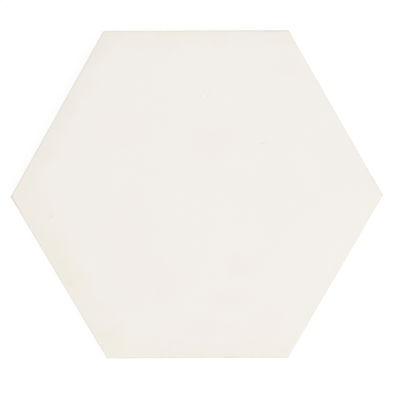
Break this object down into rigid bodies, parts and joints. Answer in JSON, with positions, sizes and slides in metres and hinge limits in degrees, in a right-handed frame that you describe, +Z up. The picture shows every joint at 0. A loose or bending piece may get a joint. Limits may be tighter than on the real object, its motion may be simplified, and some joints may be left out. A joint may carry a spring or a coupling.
{
  "type": "hexagon floor tile",
  "caption": "Six-sided ivory ceramic floor tile with a matt face, a finely rounded top edge and a keyed honeycomb back.",
  "frame": {"origin": "middle of the back, on the plane that the tile is laid on", "axes": "+Z up out of the wearing face; +X from the middle to a corner; +Y from the middle to a side"},
  "size_m": [0.2498, 0.22, 0.009],
  "materials": {
    "ivory_ceramic": "matt ivory glaze that thins to a warm cream along the edges, over a pale fired body"
  },
  "bodies": {
    "root": {"hexagon_tile": "ivory_ceramic"}
  },
  "joints": []
}
